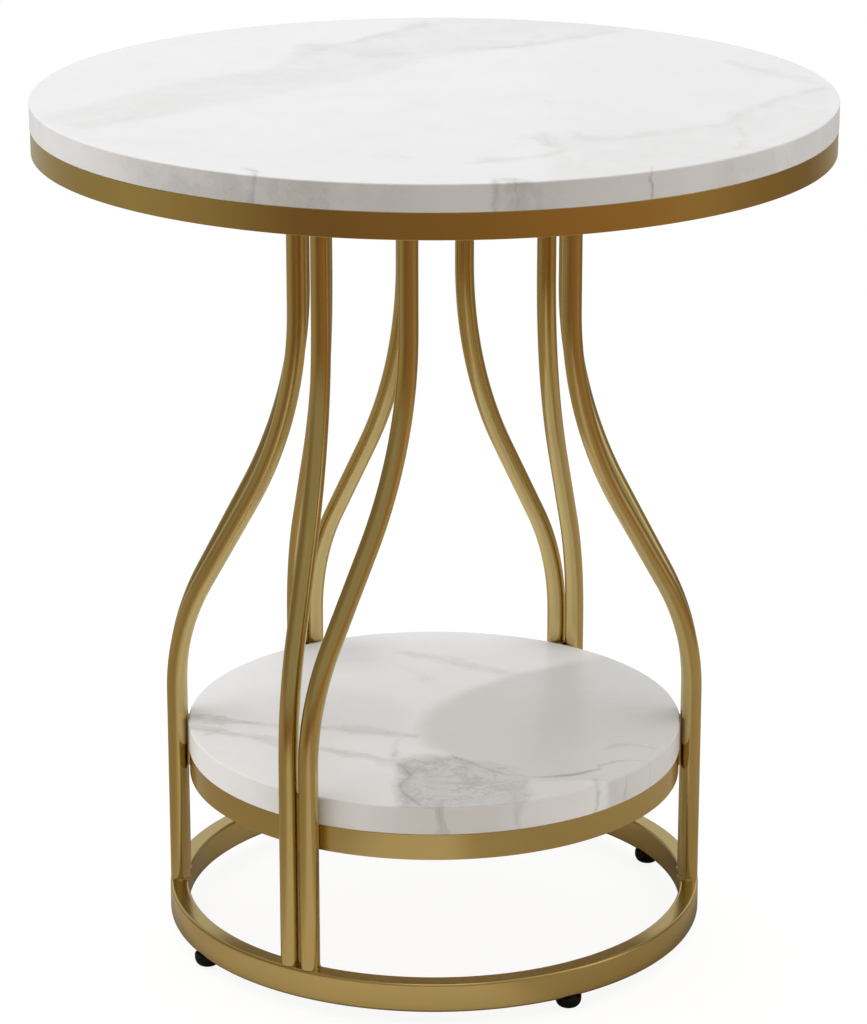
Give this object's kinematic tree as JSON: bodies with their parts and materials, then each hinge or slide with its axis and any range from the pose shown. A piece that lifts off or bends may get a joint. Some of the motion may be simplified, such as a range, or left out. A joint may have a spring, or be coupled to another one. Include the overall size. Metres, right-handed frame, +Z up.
{
  "type": "tiered side table",
  "caption": "Round side table with a marble-look top, a smaller low shelf and paired bent metal tubes that rise from a base ring on levelling feet.",
  "frame": {"origin": "On the centre line of the table, at floor level.", "axes": "+Z up; +X to the right and -Y towards the viewer, so that the place without legs, where the shelf is reached, is at the front right (300 degrees from +X)."},
  "size_m": [0.4999, 0.5, 0.551],
  "materials": {
    "marble_film_board": "fibreboard wrapped in a white film with soft grey marble veins under gloss lacquer",
    "satin_brass_steel": "steel with a satin brass-coloured plated finish",
    "zinc_steel": "bright zinc plating",
    "black_nylon": "moulded black nylon, fine matt"
  },
  "bodies": {
    "table": {"top_board": "marble_film_board", "top_hoop": "satin_brass_steel", "top_hub_plate": "satin_brass_steel", "top_spoke_1": "satin_brass_steel", "top_spoke_2": "satin_brass_steel", "top_spoke_3": "satin_brass_steel", "top_spoke_4": "satin_brass_steel", "top_spoke_5": "satin_brass_steel", "top_spoke_6": "satin_brass_steel", "top_screws": "zinc_steel", "right_leg_tube_a": "satin_brass_steel", "right_leg_tube_b": "satin_brass_steel", "right_leg_plate": "satin_brass_steel", "right_shelf_tab": "satin_brass_steel", "back_right_leg_tube_a": "satin_brass_steel", "back_right_leg_tube_b": "satin_brass_steel", "back_right_leg_plate": "satin_brass_steel", "back_right_shelf_tab": "satin_brass_steel", "back_left_leg_tube_a": "satin_brass_steel", "back_left_leg_tube_b": "satin_brass_steel", "back_left_leg_plate": "satin_brass_steel", "back_left_shelf_tab": "satin_brass_steel", "left_leg_tube_a": "satin_brass_steel", "left_leg_tube_b": "satin_brass_steel", "left_leg_plate": "satin_brass_steel", "left_shelf_tab": "satin_brass_steel", "front_leg_tube_a": "satin_brass_steel", "front_leg_tube_b": "satin_brass_steel", "front_leg_plate": "satin_brass_steel", "front_shelf_tab": "satin_brass_steel", "shelf_board": "marble_film_board", "shelf_hoop": "satin_brass_steel", "shelf_screws": "zinc_steel", "base_ring": "satin_brass_steel", "foot_inserts": "zinc_steel"},
    "foot_1": {"foot_1_base": "black_nylon", "foot_1_stud": "zinc_steel"},
    "foot_2": {"foot_2_base": "black_nylon", "foot_2_stud": "zinc_steel"},
    "foot_3": {"foot_3_base": "black_nylon", "foot_3_stud": "zinc_steel"},
    "foot_4": {"foot_4_base": "black_nylon", "foot_4_stud": "zinc_steel"}
  },
  "joints": [
    {"name": "foot_1_turn", "type": "hinge", "parent": "table", "child": "foot_1", "pos_m": [0.14549, 0.084, 0.008], "axis": [0, 0, -1], "range_deg": [0, 1800]},
    {"name": "foot_2_turn", "type": "hinge", "parent": "table", "child": "foot_2", "pos_m": [-0.084, 0.14549, 0.008], "axis": [0, 0, -1], "range_deg": [0, 1800]},
    {"name": "foot_3_turn", "type": "hinge", "parent": "table", "child": "foot_3", "pos_m": [-0.14549, -0.084, 0.008], "axis": [0, 0, -1], "range_deg": [0, 1800]},
    {"name": "foot_4_turn", "type": "hinge", "parent": "table", "child": "foot_4", "pos_m": [0.084, -0.14549, 0.008], "axis": [0, 0, -1], "range_deg": [0, 1800]}
  ]
}
